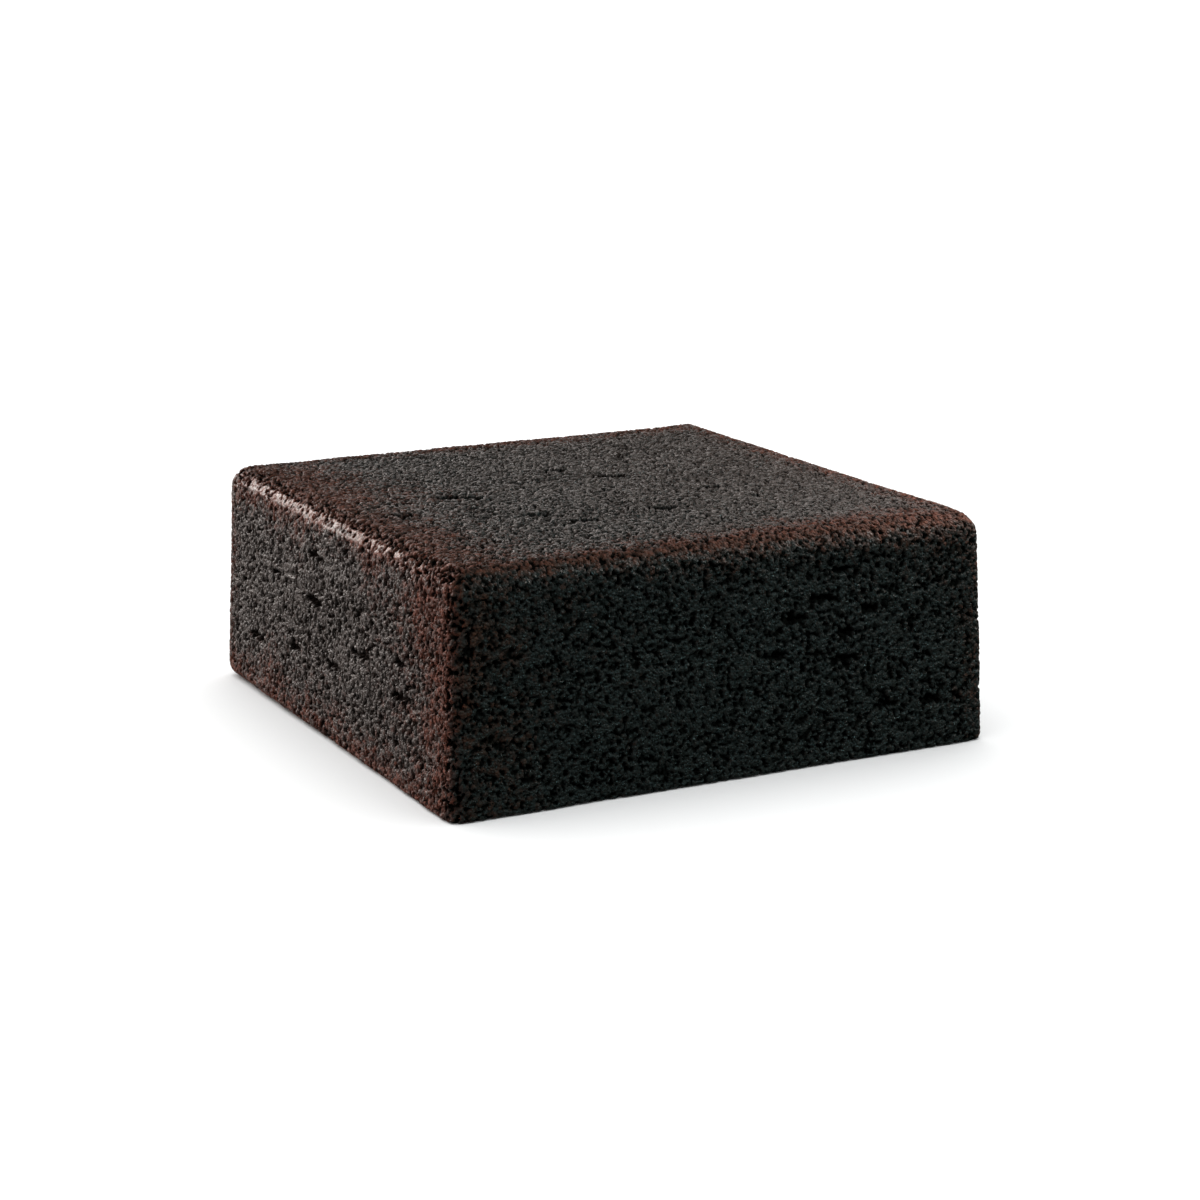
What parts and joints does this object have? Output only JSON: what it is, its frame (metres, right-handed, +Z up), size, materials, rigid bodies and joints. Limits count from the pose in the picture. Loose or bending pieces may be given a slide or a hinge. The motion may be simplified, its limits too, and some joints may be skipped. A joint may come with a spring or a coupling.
{
  "type": "mud cake",
  "caption": "Square dark chocolate mud cake, uncut and uniced, with soft round top edges, leaning sides and a crumbly foot.",
  "frame": {"origin": "middle of the base, on the surface that the cake rests on", "axes": "+Z up, out of the flat top; -Y out of the broad front side, -X out of the side at its left"},
  "size_m": [0.2002, 0.2002, 0.0795],
  "materials": {
    "crumb": "moist, finely pitted chocolate crumb, near black, with a thin red-brown crust along the edges"
  },
  "bodies": {
    "root": {"mud_cake": "crumb"}
  },
  "joints": []
}
